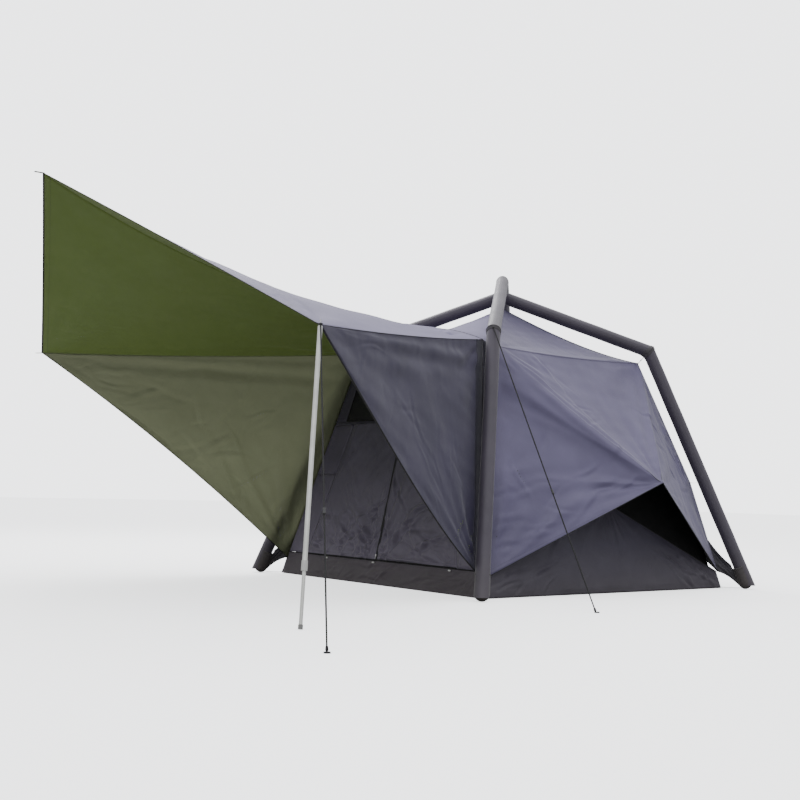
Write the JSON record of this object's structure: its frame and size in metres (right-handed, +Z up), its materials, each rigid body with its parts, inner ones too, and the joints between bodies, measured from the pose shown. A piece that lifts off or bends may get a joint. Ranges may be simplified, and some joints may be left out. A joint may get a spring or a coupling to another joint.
{
  "type": "air beam tent",
  "caption": "Square tent hung inside crossed external air beams, with propped vent hoods, a zipped door and a large front awning held out by a telescopic pole.",
  "frame": {"origin": "on the ground under the apex, at the centre of the square floor", "axes": "+Z up, -Y out of the door and along the awning, +X to the right seen from the front"},
  "size_m": [4.9065, 5.5452, 2.6216],
  "materials": {
    "sleeve": "coated woven polyester, dark brown-grey",
    "bladder": "translucent film",
    "boot": "coarse reinforcing weave",
    "band": "sewn tape",
    "outer_fabric": "coated ripstop, purple-grey outside",
    "awning_fabric": "coated ripstop, purple-grey above and olive green below",
    "door_fabric": "coated polyester, dark grey",
    "inner_fabric": "coated polyester, dark grey",
    "mesh": "fine black mesh",
    "floor": "heavy coated floor cloth",
    "binding": "black edge binding",
    "webbing": "black webbing",
    "light_webbing": "pale grey webbing",
    "cord": "braided black cord",
    "zip": "coil zip on woven tape",
    "toggle": "white moulded plastic",
    "black_plastic": "moulded black plastic",
    "pole": "satin",
    "steel": "brushed",
    "eyelet": "nickelled eyelet",
    "rod": "pultruded rod",
    "rubber": "moulded rubber"
  },
  "bodies": {
    "tent": {"apex_hanger": "cord", "awning_binding_left": "binding", "awning_binding_right": "binding", "awning_corner_tabs": "webbing", "awning_eyelets": "eyelet", "awning_roof_left": "awning_fabric", "awning_roof_right": "awning_fabric", "awning_wall_left": "awning_fabric", "awning_wall_right": "awning_fabric", "back_inner_panel": "inner_fabric", "back_vent_mesh": "mesh", "back_wall": "outer_fabric", "base_straps": "light_webbing", "beam_boots": "boot", "door_toggles": "toggle", "eave_hangers": "cord", "foot_straps": "webbing", "front_corner_gussets": "outer_fabric", "front_skirt": "door_fabric", "front_wall": "door_fabric", "groundsheet": "floor", "knee_guy_line": "cord", "knee_seam_bands": "band", "left_inner_panel": "inner_fabric", "left_vent_mesh": "mesh", "left_wall": "outer_fabric", "over_beam_bladder": "bladder", "over_beam_sleeve": "sleeve", "pole_guy_line": "cord", "prop_brackets": "black_plastic", "right_inner_panel": "inner_fabric", "right_vent_mesh": "mesh", "right_wall": "outer_fabric", "roof_back": "outer_fabric", "roof_front": "outer_fabric", "roof_left": "outer_fabric", "roof_right": "outer_fabric", "under_beam_bladder": "bladder", "under_beam_sleeve": "sleeve", "valve_bodies": "black_plastic", "waist_straps": "light_webbing", "window_mesh": "mesh"},
    "pole": {"pole_upper_tube": "pole", "pole_spigot": "steel"},
    "pole_lower": {"pole_lower_tube": "pole", "pole_shoe": "rubber"},
    "pole_lock": {"pole_twist_lock": "black_plastic"},
    "door_right": {"door_leaf_right": "door_fabric", "door_zip_tape_right": "zip"},
    "door_left": {"door_leaf_left": "door_fabric", "door_zip_tape_left": "zip"},
    "zip_slider": {"door_zip_slider": "steel"},
    "hood_prop_right": {"right_hood_prop": "rod"},
    "hood_prop_back": {"back_hood_prop": "rod"},
    "hood_prop_left": {"left_hood_prop": "rod"},
    "over_valve_cap": {"over_beam_valve_cap": "black_plastic"},
    "under_valve_cap": {"under_beam_valve_cap": "black_plastic"},
    "knee_runner": {"knee_guy_runner": "black_plastic"},
    "pole_runner": {"pole_guy_runner": "black_plastic"}
  },
  "joints": [
    {"name": "pole_swing", "type": "hinge", "parent": "tent", "child": "pole", "pos_m": [1.96924, -3.07734, 1.57], "axis": [0.7088, 0.7054, 0], "range_deg": [-15, 30]},
    {"name": "pole_telescope", "type": "slide", "parent": "pole", "child": "pole_lower", "axis": [-0.1185, 0.1191, 0.9858], "range_m": [-0.45, 0.25]},
    {"name": "pole_lock_twist", "type": "hinge", "parent": "pole", "child": "pole_lock", "pos_m": [2.12338, -3.23221, 0.28798], "axis": [-0.1185, 0.1191, 0.9858], "range_deg": [0, 90]},
    {"name": "door_right_swing", "type": "hinge", "parent": "tent", "child": "door_right", "pos_m": [0.93, -1.21035, 0.183], "axis": [-0.2648, 0.2042, 0.9424], "range_deg": [0, 100]},
    {"name": "door_left_swing", "type": "hinge", "parent": "tent", "child": "door_left", "pos_m": [-0.93, -1.21035, 0.183], "axis": [-0.2648, -0.2042, -0.9424], "range_deg": [0, 100]},
    {"name": "zip_travel", "type": "slide", "parent": "door_left", "child": "zip_slider", "axis": [0, 0.2118, 0.9773], "range_m": [0, 0.96]},
    {"name": "hood_prop_right_fold", "type": "hinge", "parent": "tent", "child": "hood_prop_right", "pos_m": [1.12597, 0.09, 0.603], "axis": [0, 1, 0], "range_deg": [0, 92]},
    {"name": "hood_prop_back_fold", "type": "hinge", "parent": "tent", "child": "hood_prop_back", "pos_m": [-0.09, 1.12597, 0.603], "axis": [-1, 0, 0], "range_deg": [0, 92]},
    {"name": "hood_prop_left_fold", "type": "hinge", "parent": "tent", "child": "hood_prop_left", "pos_m": [-1.12597, -0.09, 0.603], "axis": [0, -1, 0], "range_deg": [0, 92]},
    {"name": "over_valve_cap_flip", "type": "hinge", "parent": "tent", "child": "over_valve_cap", "pos_m": [-1.29505, 1.29505, 0.4618], "axis": [0.7071, 0.7071, 0], "range_deg": [0, 120]},
    {"name": "under_valve_cap_flip", "type": "hinge", "parent": "tent", "child": "under_valve_cap", "pos_m": [-1.29505, -1.29505, 0.4618], "axis": [-0.7071, 0.7071, 0], "range_deg": [0, 120]},
    {"name": "knee_runner_slide", "type": "slide", "parent": "tent", "child": "knee_runner", "axis": [-0.5698, 0.1347, 0.8107], "range_m": [-0.6, 1]},
    {"name": "pole_runner_slide", "type": "slide", "parent": "tent", "child": "pole_runner", "axis": [-0.4883, 0.2807, 0.8263], "range_m": [-0.5, 0.9]}
  ]
}
